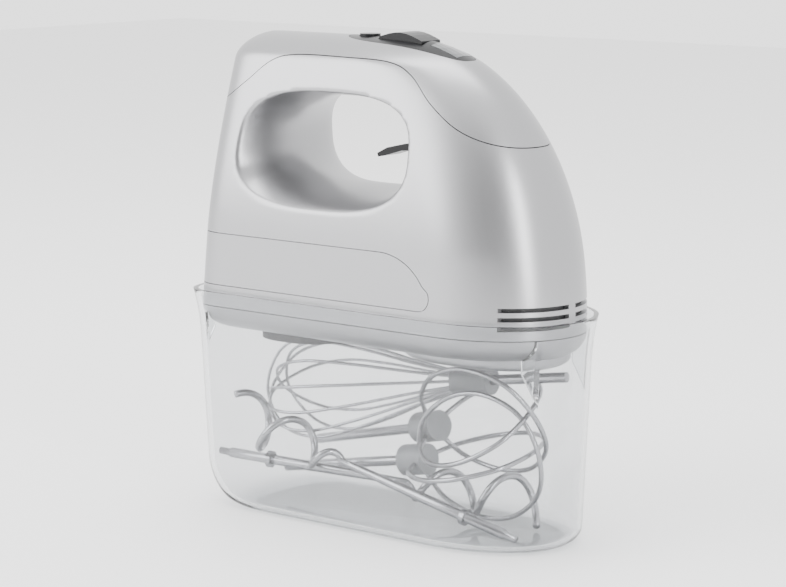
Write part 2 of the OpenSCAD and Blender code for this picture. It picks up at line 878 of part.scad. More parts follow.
module rotor_core() {
    color([0.5, 0.51, 0.53]) on_motor(stator_x0) difference() {
        cylinder(r = rotor_r, h = stator_l);
        translate([0, 0, -1]) cylinder(r = shaft_r + 0.02, h = stator_l + 2);
        for (a = [0:30:330]) rotate(a)
            translate([rotor_r - 2, -0.8, -1]) cube([4, 1.6, stator_l + 2]);
    }
}

module rotor_windings() {
    color([0.72, 0.4, 0.2])
        for (x = [stator_x0 - 6.2, stator_x1 + 0.2])
            on_motor(x) ring(shaft_r + 1.5, rotor_r - 2, 6);
}

commutator_x = stator_x1 + 8;

module commutator() {
    color([0.8, 0.5, 0.3]) on_motor(commutator_x) difference() {
        cylinder(r = 8, h = 10);
        translate([0, 0, -1]) cylinder(r = shaft_r + 0.02, h = 12);
        for (a = [0:30:330]) rotate(a) translate([7.2, -0.25, -1]) cube([2, 0.5, 12]);
    }
}

module motor_shaft() {
    color(steel) on_motor(rear_frame_x - 2)
        cylinder(r = shaft_r, h = frame_x1 - rear_frame_x + 1);
}

// Worm: a twisted cam whose crests stand upright at the middle of its length
worm_l = 24;

module drive_worm() {
    lead = worm_starts * PI;
    crest = worm_r + tooth_h - 0.1;
    root = worm_r - tooth_h - 0.25;
    cam = [[-0.92, root], [-0.42, crest], [0, crest], [0.42, crest], [0.92, root],
        [1.3, root], [1.8, root]];
    turn = 360 / lead;
    color(steel) on_motor(spindle_x - worm_l / 2) difference() {
        rotate(-turn * worm_l / 2)
            linear_extrude(worm_l, twist = -turn * worm_l, slices = 48, segments = 14)
                polygon([for (s = [0:worm_starts - 1]) for (c = cam)
                    c[1] * [cos(s * 180 + c[0] * turn), sin(s * 180 + c[0] * turn)]]);
        translate([0, 0, -1]) cylinder(r = shaft_r + 0.02, h = worm_l + 2);
    }
}

module cooling_fan() {
    color([0.9, 0.9, 0.88]) on_motor(rear_frame_x + 4.6) difference() {
        union() {
            cylinder(r = 6, h = 8);
            cylinder(r = 20, h = 1.4);
            for (a = [0:30:330]) rotate(a) translate([5, -0.6, 0]) cube([15, 1.2, 7]);
        }
        translate([0, 0, -1]) cylinder(r = shaft_r + 0.02, h = 12);
    }
}

module front_bearing() {
    color([0.75, 0.6, 0.35]) on_motor(frame_x0) ring(shaft_r + run_gap, 8, 4);
}

module rear_bearing() {
    color([0.75, 0.6, 0.35]) on_motor(rear_frame_x) ring(shaft_r + run_gap, 7, 4);
}

brush_x = commutator_x + 5;

module brush_holders() {
    color([0.25, 0.2, 0.15]) for (side = [-1, 1]) difference() {
        translate([brush_x - 5, side > 0 ? 11 : -23, motor_z - 5])
            cube([frame_x0 - 0.2 - brush_x + 5, 12, 10]);
        translate([brush_x - 2.7, side > 0 ? 10 : -21.5, motor_z - 3.2]) cube([5.4, 11.5, 6.4]);
    }
}

module carbon_brushes() {
    color([0.15, 0.15, 0.15]) for (side = [-1, 1])
        translate([brush_x - 2.5, side > 0 ? 8.15 : -20.15, motor_z - 3]) cube([5, 12, 6]);
}

module motor_bracket() {
    color([0.6, 0.61, 0.62]) difference() {
        union() {
            translate([rear_frame_x, -29, motor_z - 22]) cube([4, 58, 44]);
            translate([rear_frame_x, 0, 0]) motor_screw_places()
                cylinder(r = 3.6, h = stator_x0 - rear_frame_x);
            translate([rear_frame_x, -10, cover_floor_z + seat_gap])
                cube([4, 20, motor_z - 20 - cover_floor_z]);
        }
        on_motor(rear_frame_x - 1) cylinder(r = 7.02, h = 6);
        translate([rear_frame_x - 1, 0, 0]) motor_screw_places() cylinder(r = 2, h = 40);
    }
}

module motor_screws() {
    color(steel) translate([rear_frame_x, 0, 0]) motor_screw_places() {
        cylinder(r = 1.8, h = frame_x0 + 4 - rear_frame_x);
        translate([0, 0, -2.2]) cylinder(r = 3.2, h = 2);
    }
}

module cover_screws() {
    color(steel) for (p = screw_places) translate([p[0], p[1], 0]) {
        translate([0, 0, screw_seat_z - 2.5]) cylinder(r = screw_head_r, h = 2.4);
        translate([0, 0, screw_seat_z - 1]) cylinder(r = screw_r, h = 16);
    }
}

module power_board() {
    color([0.1, 0.35, 0.2]) translate([-90, -28, board_z + seat_gap]) {
        cube([27, 56, board_t]);
        translate([4, 6, board_t]) cube([12, 16, 6]);
        translate([4, 30, board_t]) cube([8, 18, 5]);
        translate([20, 28, board_t]) cylinder(r = 4, h = 6);
    }
}

module cord_gland() {
    out = gland_wall_x;
    color(black) translate([out, 0, gland_z]) rotate([0, 90, 0]) difference() {
        union() {
            translate([0, 0, -8]) cylinder(r = gland_r, h = 17);
            translate([0, 0, 4]) cylinder(r = gland_flange_r, h = 2.4);
            translate([0, 0, -8]) cylinder(r1 = gland_r, r2 = gland_r + 1.8, h = 6);
        }
        translate([0, 0, -10]) cylinder(r = cord_r, h = 22);
    }
}

module cord_clamp() {
    color(black) difference() {
        translate([-88, -8, shelf_z + 3 + seat_gap]) cube([8, 16, 14]);
        translate([-90, 0, gland_z]) rotate([0, 90, 0]) cylinder(r = cord_r, h = 20);
        for (y = [-5.8, 5.8]) translate([-84, y, shelf_z]) cylinder(r = 1, h = 30);
    }
}

// ---- accessories ------------------------------------------------------------------
// Each one is built along +X from its hub, then laid in the case.

// Places a child's origin at a point, with its +X along a direction, rolled about it
module laid(at, aim, roll) {
    way = unit(aim);
    translate(at) rotate([0, -asin(way[2]), atan2(way[1], way[0])]) rotate([roll, 0, 0])
        children();
}

// A wire loop in the XZ plane, through the given half outline and back
module wire_loop(half, wire_r, sides) {
    n = len(half);
    whole = concat(half, [for (i = [n - 2:-1:0]) [half[i][0], -half[i][1]]]);
    path = [for (p = spline(whole, 3)) [p[0], 0, p[1]]];
    bar(path, [for (p = path) wire_r], [0, 1, 0], sides);
}

// Hub position, direction and roll of each accessory
whisk_at = [37.2, 9.9, 70.2];
whisk_aim = [-99, -9, -14];
whisk_roll = 8;
beater_a_at = [10.1, 1.3, 29.6];
beater_a_aim = [98, 0, 18];
beater_a_roll = 11;
beater_b_at = [11.7, 8.8, 44.7];
beater_b_aim = [96, -16, 23];
beater_b_roll = 33;
hook_a_at = [-13.3, -22.9, 28.6];
hook_a_aim = [-97, -3, 22];
hook_a_roll = 13;
hook_b_at = [6.3, -7.1, 19.9];
hook_b_aim = [98, 21, -5];
hook_b_roll = 235;

ferrule_l = 20;
ferrule_r = 7;
collar_l = 14;
collar_r = 7.5;
beater_shank_l = 84;
whisk_shank_l = 52;
embed = 4;

module whisk_wires() {
    color(steel) laid(whisk_at, whisk_aim, whisk_roll)
        for (i = [0:whisk_loops - 1])
            rotate([180 * i / whisk_loops, 0, 0])
                wire_loop([
                    for (p = [[0.0, 0.16], [0.22, 0.42], [0.5, 0.8], [0.74, 1], [0.92, 0.76], [1, 0]])
                        [ferrule_l / 2 - embed
                            + p[0] * (whisk_l - ferrule_l / 2 - i * (whisk_wire_d + 1.2)),
                            p[1] * whisk_r]
                ], whisk_wire_d / 2, 6);
}

module whisk_ferrule() {
    color([0.6, 0.61, 0.63]) laid(whisk_at, whisk_aim, 0) rotate([0, 90, 0]) difference() {
        translate([0, 0, -ferrule_l / 2]) cylinder(r = ferrule_r, h = ferrule_l);
        translate([0, 0, -ferrule_l / 2 - 1]) cylinder(r = shank_d / 2 + 0.02, h = 13);
    }
}

module whisk_shaft() {
    color(steel) laid(whisk_at, whisk_aim, 0) rotate([0, 90, 0])
        translate([0, 0, -whisk_shank_l - ferrule_l / 2 + 11])
            cylinder(r = shank_d / 2, h = whisk_shank_l);
}

module beater_wires(at, aim, roll) {
    color(steel) laid(at, aim, roll)
        for (i = [0, 1]) rotate([90 * i, 0, 0])
            wire_loop([
                for (p = [[0, 0.14], [0.1, 0.62], [0.36, 0.96], [0.66, 0.98], [0.92, 0.62], [1, 0]])
                    [collar_l / 2 - embed
                        + p[0] * (beater_l - collar_l / 2 - i * (beater_wire_d + 1.6)),
                        p[1] * beater_r]
            ], beater_wire_d / 2, 8);
}

module beater_collar(at, aim) {
    color([0.6, 0.61, 0.63]) laid(at, aim, 0) rotate([0, 90, 0]) difference() {
        translate([0, 0, -collar_l / 2]) cylinder(r = collar_r, h = collar_l);
        translate([0, 0, -collar_l / 2 - 1]) cylinder(r = shank_d / 2 + 0.02, h = 9);
    }
}

module beater_shaft(at, aim) {
    color(steel) laid(at, aim, 0) rotate([0, 90, 0])
        translate([0, 0, -beater_shank_l]) cylinder(r = shank_d / 2, h = beater_shank_l);
}

module beater_a_wires() {
    beater_wires(beater_a_at, beater_a_aim, beater_a_roll);
}

module beater_a_collar() {
    beater_collar(beater_a_at, beater_a_aim);
}

module beater_a_shaft() {
    beater_shaft(beater_a_at, beater_a_aim);
}

module beater_b_wires() {
    beater_wires(beater_b_at, beater_b_aim, beater_b_roll);
}

module beater_b_collar() {
    beater_collar(beater_b_at, beater_b_aim);
}

module beater_b_shaft() {
    beater_shaft(beater_b_at, beater_b_aim);
}

// Dough hook: a straight shank that winds into a widening spiral
spiral_turns = 2.1;
spiral_steps = 40;
hook_collar_x = 28;

function hook_path() = concat(
    [[-hook_shank_l, 0, 0], [6.5 - hook_shank_l, 0, 0], [7 - hook_shank_l, 0, 0],
        [-hook_shank_l / 2, 0, 0], [-3, 0, 0]],
    [for (i = [0:spiral_steps])
        let (t = i / spiral_steps,
             grow = hook_spiral_r * min(1, 0.55 + 0.5 * t) * sin(90 * min(1, t * 7)),
             a = 360 * spiral_turns * t)
        [3 + (hook_spiral_l - 3) * t, grow * sin(a), grow * cos(a)]]
);

module dough_hook(at, aim, roll) {
    path = hook_path();
    tip = shank_d / 2 - 0.7;
    radii = [for (i = [0:len(path) - 1]) i < 2 ? tip : i < 4 ? shank_d / 2 : hook_rod_d / 2];
    color(steel) laid(at, aim, roll) bar(path, radii, [0, 1, 0], 8);
}

module hook_collar(at, aim) {
    color(steel) laid(at, aim, 0) translate([hook_collar_x - hook_shank_l, 0, 0])
        rotate([0, 90, 0]) ring(shank_d / 2 + 0.05, shank_d / 2 + 1.6, 2.4);
}

module dough_hook_a() {
    dough_hook(hook_a_at, hook_a_aim, hook_a_roll);
}

module dough_hook_a_collar() {
    hook_collar(hook_a_at, hook_a_aim);
}

module dough_hook_b() {
    dough_hook(hook_b_at, hook_b_aim, hook_b_roll);
}

module dough_hook_b_collar() {
    hook_collar(hook_b_at, hook_b_aim);
}

storage_case();
main_housing();
top_cover();
bottom_cover();
rear_side_band();
rear_foot();
vent_baffle();
control_panel();
power_button();
speed_rocker();
rocker_pin();
display_window();
control_board();
eject_lever();
lever_pivot_pin();
ejector_yoke();
ejector_spring();
motor_stator();
field_coils();
rotor_core();
rotor_windings();
commutator();
motor_shaft();
drive_worm();
cooling_fan();
front_bearing();
rear_bearing();
brush_holders();
carbon_brushes();
motor_bracket();
gearbox_frame();
worm_wheel_left();
worm_wheel_right();
spindle_left();
spindle_right();
spindle_bushes();
motor_screws();
cover_screws();
power_board();
cord_gland();
cord_clamp();
whisk_wires();
whisk_ferrule();
whisk_shaft();
beater_a_wires();
beater_a_collar();
beater_a_shaft();
beater_b_wires();
beater_b_collar();
beater_b_shaft();
dough_hook_a();
dough_hook_a_collar();
dough_hook_b();
dough_hook_b_collar();
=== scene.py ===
import json
import math

import bmesh
import bpy
from mathutils import Matrix, Vector


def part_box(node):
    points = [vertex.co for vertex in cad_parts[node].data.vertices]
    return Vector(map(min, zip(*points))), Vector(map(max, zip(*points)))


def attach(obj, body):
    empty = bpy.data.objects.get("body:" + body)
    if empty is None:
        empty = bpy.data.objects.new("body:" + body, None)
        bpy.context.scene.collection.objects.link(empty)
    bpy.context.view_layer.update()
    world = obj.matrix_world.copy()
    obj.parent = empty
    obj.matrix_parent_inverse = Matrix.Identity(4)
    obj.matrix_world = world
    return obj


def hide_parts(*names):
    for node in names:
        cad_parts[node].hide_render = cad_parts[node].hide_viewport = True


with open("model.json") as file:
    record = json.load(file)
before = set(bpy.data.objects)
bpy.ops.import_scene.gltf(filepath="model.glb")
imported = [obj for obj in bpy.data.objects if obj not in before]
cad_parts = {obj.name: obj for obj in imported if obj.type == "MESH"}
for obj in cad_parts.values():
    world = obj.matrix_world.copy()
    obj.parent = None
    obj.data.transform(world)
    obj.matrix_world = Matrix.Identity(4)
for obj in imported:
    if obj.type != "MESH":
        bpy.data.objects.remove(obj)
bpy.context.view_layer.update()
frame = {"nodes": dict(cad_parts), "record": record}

nodes = frame["nodes"]
MM = 0.001


def box_mm(node):
    """Lowest and highest corner of a CAD node in millimetres."""
    low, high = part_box(node)
    return low / MM, high / MM


# ---- sizes taken from the frame ---------------------------------------------------------------

case_low, case_high = box_mm("storage_case")
housing_low, housing_high = box_mm("main_housing")
cover_low, cover_high = box_mm("bottom_cover")
panel_low, panel_high = box_mm("control_panel")
band_low, band_high = box_mm("rear_side_band")

CASE_H = case_high.z
CASE_REAR = -case_low.x
CASE_FRONT = case_high.x
CASE_HALF_W = case_high.y
CASE_WALL = 2.2
CASE_FLOOR = 2.5
CASE_DRAFT = 4
CASE_REAR_ROUND = 24
CASE_EDGE_ROUND = 7

SEAM_Z = housing_low.z
TOP_Z = box_mm("top_cover")[1].z
BODY_REAR = -housing_low.x
BODY_FRONT = housing_high.x
BODY_HALF_W = housing_high.y
HANDLE_HALF_W = 26
BODY_H = TOP_Z - SEAM_Z
UNDER_H = 11.5
CROWN_H = 12
CROWN_Z = TOP_Z - CROWN_H
WAIST_Z = SEAM_Z + 35
WALL = 2.4
SEAM = 0.3
BOSS_Z = cover_low.z
UNDER_Z = SEAM_Z - UNDER_H

NOSE_POWER = 2.1
REAR_POWER = 3.4
NOSE_RUN = 50
REAR_RUN = 26
UNDER_RUN = 12
REAR_LEAN = 0.1
PROFILE_X = -10
PROFILE_POWER = 2.3
CROWN_REAR_ROUND = 11

# Handle opening at its throat, and how far it flares to the sides
GRIP = {"rear": -62, "front": 27, "floor": SEAM_Z + 61, "ceiling": SEAM_Z + 103}
FLARE = {"rear": 17, "front": 10, "floor": 13, "ceiling": 9}
FLARE_Y = BODY_HALF_W + 1.5
FLARE_POWER = 1.7

VENT_TOP_Z = SEAM_Z + 13.8
VENT_PITCH = 4.2
VENT_SLOT = 2
VENT_START = 82
VENT_POST = 5
VENT_ROWS = 3


# ---- meshes -----------------------------------------------------------------------------------

def new_object(name, mesh):
    ob = bpy.data.objects.new(name, mesh)
    bpy.context.scene.collection.objects.link(ob)
    return ob


def mesh_object(name, points, faces, smooth=True):
    """An object from points in millimetres."""
    mesh = bpy.data.meshes.new(name)
    mesh.from_pydata([Vector(p) * MM for p in points], [], faces)
    bm = bmesh.new()
    bm.from_mesh(mesh)
    bmesh.ops.recalc_face_normals(bm, faces=bm.faces)
    bm.to_mesh(mesh)
    bm.free()
    mesh.polygons.foreach_set("use_smooth", [smooth] * len(mesh.polygons))
    return new_object(name, mesh)


def skin(name, rings):
    """A closed solid through rings that have equal point counts."""
    n = len(rings[0])
    points = [p for ring in rings for p in ring]
    faces = [
        (j * n + i, j * n + (i + 1) % n, (j + 1) * n + (i + 1) % n, (j + 1) * n + i)
        for j in range(len(rings) - 1)
        for i in range(n)
    ]
    faces += [tuple(range(n)), tuple(range(len(points) - n, len(points)))]
    return mesh_object(name, points, faces)


def prism(name, outline, way, low, high):
    """An outline of (u, v) pairs, extruded along axis y or z from low to high."""
    place = {"y": lambda u, v, w: (u, w, v), "z": lambda u, v, w: (u, v, w)}[way]
    return skin(name, [[place(u, v, w) for u, v in outline] for w in (low, high)])


def block(name, low, high):
    outline = [(low[0], low[1]), (high[0], low[1]), (high[0], high[1]), (low[0], high[1])]
    return prism(name, outline, "z", low[2], high[2])


def settle(ob):
    """Applies all modifiers."""
    graph = bpy.context.evaluated_depsgraph_get()
    mesh = bpy.data.meshes.new_from_object(ob.evaluated_get(graph))
    ob.modifiers.clear()
    ob.data = mesh
    return ob


def combine(ob, tool, how="DIFFERENCE"):
    """Cuts, joins or intersects a solid with a tool, which is used up."""
    change = ob.modifiers.new("combine", "BOOLEAN")
    change.operation = how
    change.solver = "MANIFOLD"
    change.object = tool
    settle(ob)
    bpy.data.objects.remove(tool)
    return ob


def copy_of(ob, name):
    twin = new_object(name, ob.data.copy())
    return twin


def rounded(ob, width, segments=2, angle=35):
    bevel = ob.modifiers.new("bevel", "BEVEL")
    bevel.width = width * MM
    bevel.segments = segments
    bevel.limit_method = "ANGLE"
    bevel.angle_limit = math.radians(angle)
    bevel.harden_normals = False
    return ob


def crease_shading(ob, angle=35):
    """Smooth shading that keeps the edges sharper than the angle."""
    bm = bmesh.new()
    bm.from_mesh(ob.data)
    for edge in bm.edges:
        if len(edge.link_faces) == 2:
            edge.smooth = edge.calc_face_angle(0) < math.radians(angle)
    for face in bm.faces:
        face.smooth = True
    bm.to_mesh(ob.data)
    bm.free()
    return ob


# ---- forms ------------------------------------------------------------------------------------

def signed_pow(v, e):
    return math.copysign(abs(v) ** e, v)


def super_point(angle, a, b, power):
    """A point of a superellipse with semi-axes a and b; the angle is in degrees."""
    c, s = math.cos(math.radians(angle)), math.sin(math.radians(angle))
    return a * signed_pow(c, 2 / power), b * signed_pow(s, 2 / power)


def super_outline(x, y, a, b, power, steps=64):
    return [
        (x + p[0], y + p[1])
        for p in (super_point(i * 360 / steps, a, b, power) for i in range(steps))
    ]


def plan_ring(rear, nose, half_w, nose_l, rear_l, z, nose_steps=72, rear_steps=56):
    ring = []
    for i in range(nose_steps + 1):
        x, y = super_point(-90 + 180 * i / nose_steps, nose_l, half_w, NOSE_POWER)
        ring.append((nose - nose_l + x, y, z))
    for i in range(rear_steps + 1):
        x, y = super_point(90 + 180 * i / rear_steps, rear_l, half_w, REAR_POWER)
        ring.append((rear + rear_l + x, y, z))
    return ring


def body_nose(z):
    rise = max(0, z - SEAM_Z) / (BODY_H + 1.5)
    arch = max(0, 1 - rise**PROFILE_POWER) ** (1 / PROFILE_POWER)
    return PROFILE_X + (BODY_FRONT - PROFILE_X) * arch


def body_side(z):
    rise = max(0, z - WAIST_Z) / (CROWN_Z - WAIST_Z)
    return BODY_HALF_W - (BODY_HALF_W - HANDLE_HALF_W) * rise**1.6


def body_ring(z, w, pull, squeeze, rear_pull):
    rise = max(0, z - SEAM_Z) / BODY_H
    nose = body_nose(z + w * rise * rise) - w - pull
    rear = -BODY_REAR + REAR_LEAN * (z - SEAM_Z) + w + pull + rear_pull
    half_w = max(1.5, (body_side(z) - w) * squeeze - pull)
    room = nose - rear
    nose_l = min(NOSE_RUN, room * 0.55) - w * 0.6
    rear_l = min(REAR_RUN, room * 0.3) - w * 0.6
    return plan_ring(rear, nose, half_w, nose_l, rear_l, z)


def body_form(name, w, levels=64, edges=14):
    """The mixer's outer form, drawn in by w."""
    rings = []
    for i in range(edges):
        a = math.radians(90 - 90 * i / edges)
        z = SEAM_Z - (UNDER_H - w) * math.sin(a)
        rings.append(body_ring(z, w, UNDER_RUN * (1 - math.cos(a)), 1, 0))
    for i in range(levels + 1):
        rings.append(body_ring(SEAM_Z + (CROWN_Z - SEAM_Z) * i / levels, w, 0, 1, 0))
    for i in range(1, edges + 2):
        a = math.radians(86 * i / (edges + 1))
        z = CROWN_Z + (CROWN_H - w) * math.sin(a)
        pull = CROWN_REAR_ROUND * (1 - math.cos(a))
        rings.append(body_ring(z, w, 0, math.cos(a), pull))
    return skin(name, rings)


def grip_ring(y, grow):
    s = 1 - (1 - min(1, abs(y) / FLARE_Y) ** FLARE_POWER) ** (1 / FLARE_POWER)
    x0 = GRIP["rear"] - FLARE["rear"] * s - grow
    x1 = GRIP["front"] + FLARE["front"] * s + grow
    z0 = GRIP["floor"] - FLARE["floor"] * s - grow
    z1 = GRIP["ceiling"] + FLARE["ceiling"] * s + grow
    outline = super_outline((x0 + x1) / 2, (z0 + z1) / 2, (x1 - x0) / 2, (z1 - z0) / 2, 2.8, 96)
    return [(x, y, z) for x, z in outline]


def grip_form(name, grow):
    """The hollow of the handle, with its flared sides."""
    turns = [FLARE_Y * math.sin(math.radians(a)) for a in range(-90, 91, 5)]
    ends = FLARE_Y + 20
    return skin(name, [grip_ring(y, grow) for y in [-ends] + turns + [ends]])


def spline(points, steps):
    """A smooth curve through the points."""
    last = len(points) - 1
    out = []
    for i in range(last):
        a, b, c, d = (Vector(points[min(max(k, 0), last)]) for k in (i - 1, i, i + 1, i + 2))
        for k in range(steps):
            t = k / steps
            out.append(0.5 * (2 * b + t * (c - a) + t * t * (2 * a - 5 * b + 4 * c - d)
                              + t * t * t * (3 * b - a - 3 * c + d)))
    return out + [Vector(points[last])]


TOP_SEAM = spline([
    (-130, SEAM_Z + 98), (-96, SEAM_Z + 98.5), (-84, SEAM_Z + 101), (-72, SEAM_Z + 108.5),
    (-58, SEAM_Z + 119), (-44, SEAM_Z + 122.5), (-14, SEAM_Z + 122.6), (12, SEAM_Z + 121.5),
    (26, SEAM_Z + 116), (40, SEAM_Z + 103.5), (56, SEAM_Z + 92.5), (74, SEAM_Z + 86),
    (92, SEAM_Z + 84.5), (130, SEAM_Z + 84.5)], 10)


def above_top_seam(gap):
    outline = [(p.x, p.y + gap) for p in TOP_SEAM]
    outline += [(130, TOP_Z + 30), (-130, TOP_Z + 30)]
    return prism("above", outline, "y", -90, 90)


def band_prism(grow):
    z0, z1 = band_low.z, band_high.z
    outline = [(-140, z0 - grow), (42, z0 - grow)]
    for a in range(-75, 31, 5):
        r = math.radians(a)
        outline.append((43 + (6 + grow) * math.cos(r), z0 + 6 + (6 + grow) * math.sin(r)))
    for a in range(30, 91, 4):
        r = math.radians(a)
        outline.append((20 + (29 + grow) * math.cos(r), z1 - 27 + (27 + grow) * math.sin(r)))
    outline.append((-140, z1 + grow))
    return prism("band_tool", outline, "y", -90, 90)


def below(z):
    return block("below", (-160, -100, z - 200), (160, 100, z))


# ---- materials --------------------------------------------------------------------------------

def finish(name, colour, rough, metal=0.0, shade=0.92, scale=300, bump=0.02, stretch=(1, 1, 1),
           coat=0.0, fine=900, specular=0.5):
    """A moulded, painted or drawn surface: slow colour and gloss drift, and a fine grain."""
    mat = bpy.data.materials.new(name)
    mat.use_nodes = True
    tree = mat.node_tree
    shader = tree.nodes["Principled BSDF"]
    shader.inputs["Metallic"].default_value = metal
    shader.inputs["Coat Weight"].default_value = coat
    shader.inputs["Specular IOR Level"].default_value = specular
    place = tree.nodes.new("ShaderNodeTexCoord")
    mapping = tree.nodes.new("ShaderNodeMapping")
    mapping.inputs["Scale"].default_value = stretch
    tree.links.new(place.outputs["Object"], mapping.inputs["Vector"])
    drift = tree.nodes.new("ShaderNodeTexNoise")
    drift.inputs["Scale"].default_value = scale
    drift.inputs["Detail"].default_value = 3
    grain = tree.nodes.new("ShaderNodeTexNoise")
    grain.inputs["Scale"].default_value = fine
    grain.inputs["Detail"].default_value = 2
    for noise in (drift, grain):
        tree.links.new(mapping.outputs["Vector"], noise.inputs["Vector"])
    tint = tree.nodes.new("ShaderNodeMix")
    tint.data_type = "RGBA"
    tint.inputs["A"].default_value = [c * shade for c in colour[:3]] + [1]
    tint.inputs["B"].default_value = list(colour[:3]) + [1]
    tree.links.new(drift.outputs["Fac"], tint.inputs["Factor"])
    tree.links.new(tint.outputs["Result"], shader.inputs["Base Color"])
    gloss = tree.nodes.new("ShaderNodeMapRange")
    gloss.inputs["To Min"].default_value = rough[0]
    gloss.inputs["To Max"].default_value = rough[1]
    tree.links.new(drift.outputs["Fac"], gloss.inputs["Value"])
    tree.links.new(gloss.outputs["Result"], shader.inputs["Roughness"])
    if bump:
        relief = tree.nodes.new("ShaderNodeBump")
        relief.inputs["Strength"].default_value = bump
        relief.inputs["Distance"].default_value = 0.0002
        tree.links.new(grain.outputs["Fac"], relief.inputs["Height"])
        tree.links.new(relief.outputs["Normal"], shader.inputs["Normal"])
    return mat


def clear_plastic(name, colour, rough):
    """Clear moulded plastic that lets lamps shine through."""
    mat = finish(name, colour, (rough, rough * 1.6), shade=0.97, scale=40, bump=0.05, fine=250)
    tree = mat.node_tree
    shader = tree.nodes["Principled BSDF"]
    shader.inputs["Transmission Weight"].default_value = 1
    shader.inputs["IOR"].default_value = 1.42
    rays = tree.nodes.new("ShaderNodeLightPath")
    passing = tree.nodes.new("ShaderNodeBsdfTransparent")
    passing.inputs["Color"].default_value = (0.86, 0.87, 0.88, 1)
    mix = tree.nodes.new("ShaderNodeMixShader")
    tree.links.new(rays.outputs["Is Shadow Ray"], mix.inputs["Fac"])
    tree.links.new(shader.outputs["BSDF"], mix.inputs[1])
    tree.links.new(passing.outputs["BSDF"], mix.inputs[2])
    out = tree.nodes["Material Output"]
    tree.links.new(mix.outputs["Shader"], out.inputs["Surface"])
    return mat


looks = {
    "case_clear": clear_plastic("clear_case", (0.84, 0.85, 0.86), 0.04),
    "silver_plastic": finish("satin_silver", (0.36, 0.36, 0.37), (0.3, 0.36), metal=0.9,
                             shade=0.97, scale=500, bump=0.03, fine=2600),
    "dark_rubber": finish("foot_rubber", (0.06, 0.06, 0.063), (0.6, 0.75), bump=0.15, fine=1500),
    "black_plastic": finish("black_gloss", (0.006, 0.006, 0.007), (0.25, 0.35), bump=0.02,
                            specular=0.25),
    "inner_plastic": finish("inner_black", (0.03, 0.03, 0.032), (0.45, 0.6), bump=0.08),
    "window_plastic": finish("window_gloss", (0.1, 0.105, 0.11), (0.1, 0.16), coat=0.3, bump=0.0),
    "hub_plastic": finish("hub_grey", (0.24, 0.245, 0.255), (0.35, 0.45), bump=0.05),
    "gear_plastic": finish("gear_acetal", (0.82, 0.8, 0.72), (0.35, 0.5), bump=0.03),
    "chrome_wire": finish("bright_steel", (0.4, 0.4, 0.415), (0.14, 0.26), metal=1.0,
                          shade=0.85, scale=120, bump=0.03, fine=2000),
    "steel_part": finish("turned_steel", (0.55, 0.56, 0.58), (0.25, 0.4), metal=1.0,
                         scale=600, bump=0.05),
    "core_steel": finish("laminated_steel", (0.32, 0.33, 0.35), (0.4, 0.55), metal=0.9,
                         stretch=(8, 1, 1), scale=250, bump=0.2, fine=400),
    "copper_wire": finish("wound_copper", (0.62, 0.26, 0.1), (0.25, 0.45), metal=0.8,
                          stretch=(1, 12, 1), scale=200, bump=0.4, fine=300),
    "bronze": finish("sintered_bronze", (0.55, 0.4, 0.18), (0.4, 0.55), metal=0.9, bump=0.15),
    "die_cast": finish("die_cast_alloy", (0.5, 0.51, 0.52), (0.45, 0.6), metal=0.9, bump=0.2,
                       fine=1200),
    "carbon": finish("brush_carbon", (0.05, 0.05, 0.05), (0.6, 0.8), bump=0.1),
    "board_green": finish("circuit_board", (0.03, 0.16, 0.07), (0.3, 0.45), coat=0.3, bump=0.05),
}

slot_of = {s["node"]: s["material_slot"] for s in frame["record"]["subparts"]}
body_of = {n: b for b, ns in frame["record"]["behaviour"]["bodies"].items() for n in ns}


def dress(ob, slot):
    """Gives an object the look of a material slot."""
    ob.data.materials.clear()
    ob.data.materials.append(looks[slot])
    return ob


for node, ob in nodes.items():
    dress(ob, slot_of[node])


def stand_in(ob, node):
    """Shows a detailed piece in place of its CAD node."""
    dress(ob, slot_of[node])
    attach(ob, body_of[node])
    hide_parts(node)
    return ob


# ---- housings ---------------------------------------------------------------------------------

form = combine(body_form("form", 0), grip_form("grip", 0))
soften = form.modifiers.new("remesh", "REMESH")
soften.mode = "VOXEL"
soften.voxel_size = 0.9 * MM
ease = form.modifiers.new("ease", "SMOOTH")
ease.factor = 0.5
ease.iterations = 14
settle(form)
hollow = combine(body_form("hollow", WALL, 30, 8), grip_form("grip", WALL))


def vent_slots(ob):
    for row in range(VENT_ROWS):
        z = VENT_TOP_Z - row * VENT_PITCH
        for side in (-1, 1):
            ends = sorted((side * VENT_POST / 2, side * 60))
            combine(ob, block("slot", (VENT_START, ends[0], z - VENT_SLOT / 2),
                              (130, ends[1], z + VENT_SLOT / 2)))
    return ob


def panel_prism(grow):
    centre = (panel_low.x + panel_high.x) / 2
    half_l = (panel_high.x - panel_low.x) / 2
    half_w = panel_high.y
    outline = super_outline(centre, 0, half_l + grow, half_w + grow, 2.6, 72)
    return prism("panel_tool", outline, "z", TOP_Z - 30, TOP_Z + 20)


# Lower body: everything between the two seams
housing = combine(copy_of(form, "housing"), copy_of(hollow, "hollow_tool"))
combine(housing, below(SEAM_Z + SEAM / 2))
combine(housing, above_top_seam(-SEAM))
recess = combine(band_prism(SEAM + 0.1), body_form("core", 1.2 + SEAM, 40, 8))
combine(housing, recess)
vent_slots(housing)
lever_low, lever_high = box_mm("eject_lever")
combine(housing, block("lever_slot", (GRIP["front"] - 12, lever_low.y - 0.4, lever_low.z - 0.6),
                       (GRIP["front"] + 12, lever_high.y + 0.4, lever_high.z + 7)))
# The round way through the rear wall for the cord's gland
gland_low, gland_high = box_mm("cord_gland")
gland_z = (gland_low.z + gland_high.z) / 2
sleeve = [(y, z) for y, z in super_outline(0, gland_z, 6.1, 6.1, 2, 48)]
combine(housing, skin("gland_way", [[(x, y, z) for y, z in sleeve]
                                    for x in (-BODY_REAR - 8, gland_high.x + 1)]))
stand_in(crease_shading(housing), "main_housing")

